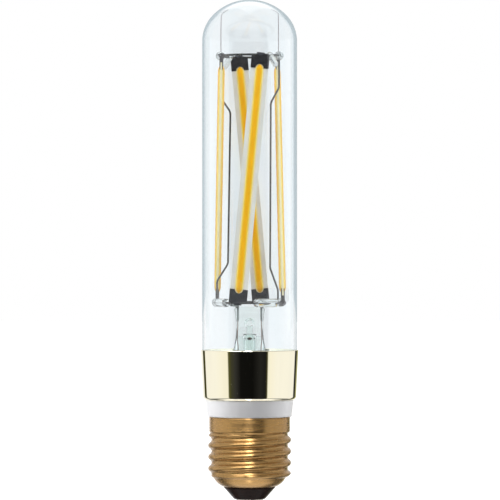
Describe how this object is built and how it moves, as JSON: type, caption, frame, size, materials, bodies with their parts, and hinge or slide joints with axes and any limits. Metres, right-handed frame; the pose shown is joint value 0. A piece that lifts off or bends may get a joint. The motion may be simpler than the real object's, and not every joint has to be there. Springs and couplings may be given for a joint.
{
  "type": "tubular led filament lamp",
  "caption": "Clear tubular glass lamp with slanted yellow filament strips on wire rings, a polished collar, a white neck ring and a brass screw cap.",
  "frame": {"origin": "centre of the end contact's outer face, at the lamp's lowest point", "axes": "+Z along the lamp's axis from the cap to the dome; -Y is the front that the picture shows"},
  "size_m": [0.031, 0.031, 0.1589],
  "materials": {
    "tube_glass": "clear, blown, smooth",
    "stem_glass": "clear, pressed, smooth",
    "bead_glass": "clear, melted, smooth",
    "phosphor": "yellow phosphor in silicone, satin",
    "strip_ceramic": "pale, matt",
    "chips": "pale crystal, smooth",
    "clip_metal": "dark, stamped",
    "ring_metal": "drawn wire, satin",
    "lead_metal": "drawn wire, satin",
    "brace_metal": "thin spring wire, satin",
    "collar_metal": "pale gold, polished",
    "neck_ring_plastic": "white, smooth",
    "cap_brass": "rolled, satin",
    "insulator_glass": "black, glossy",
    "contact_metal": "plated, satin",
    "basing_cement": "pale, matt",
    "board_laminate": "green, satin",
    "package_resin": "black, satin",
    "capacitor_can": "drawn, satin",
    "live_insulation": "red, smooth",
    "neutral_insulation": "white, smooth"
  },
  "bodies": {
    "root": {"bottom_clip_back": "clip_metal", "bottom_clip_front": "clip_metal", "bottom_clip_left": "clip_metal", "bottom_clip_right": "clip_metal", "cap_shell": "cap_brass", "capacitor": "capacitor_can", "cement": "basing_cement", "centre_contact": "contact_metal", "ceramic_strip_back": "strip_ceramic", "ceramic_strip_front": "strip_ceramic", "ceramic_strip_left": "strip_ceramic", "ceramic_strip_right": "strip_ceramic", "collar": "collar_metal", "dome_brace_left": "brace_metal", "dome_brace_right": "brace_metal", "driver_board": "board_laminate", "driver_chip": "package_resin", "exhaust_tube": "stem_glass", "glass_bulb": "tube_glass", "inner_lead_left": "lead_metal", "inner_lead_right": "lead_metal", "insulator": "insulator_glass", "led_chips_back": "chips", "led_chips_front": "chips", "led_chips_left": "chips", "led_chips_right": "chips", "live_wire": "live_insulation", "lower_bead_right": "bead_glass", "lower_bridge_left": "bead_glass", "lower_bridge_right": "bead_glass", "lower_wire_back": "ring_metal", "lower_wire_front": "ring_metal", "lower_wire_right": "ring_metal", "neck_ring": "neck_ring_plastic", "neutral_wire": "neutral_insulation", "phosphor_inner_back": "phosphor", "phosphor_inner_front": "phosphor", "phosphor_inner_left": "phosphor", "phosphor_inner_right": "phosphor", "phosphor_outer_back": "phosphor", "phosphor_outer_front": "phosphor", "phosphor_outer_left": "phosphor", "phosphor_outer_right": "phosphor", "rectifier": "package_resin", "seal_lead_left": "lead_metal", "seal_lead_right": "lead_metal", "stem_glass": "stem_glass", "support_wire_left": "ring_metal", "support_wire_right": "ring_metal", "top_clip_back": "clip_metal", "top_clip_front": "clip_metal", "top_clip_left": "clip_metal", "top_clip_right": "clip_metal", "upper_bead_left": "bead_glass", "upper_bead_right": "bead_glass", "upper_drop_left": "bead_glass", "upper_drop_right": "bead_glass", "upper_wire_back": "ring_metal", "upper_wire_front": "ring_metal"}
  },
  "joints": []
}
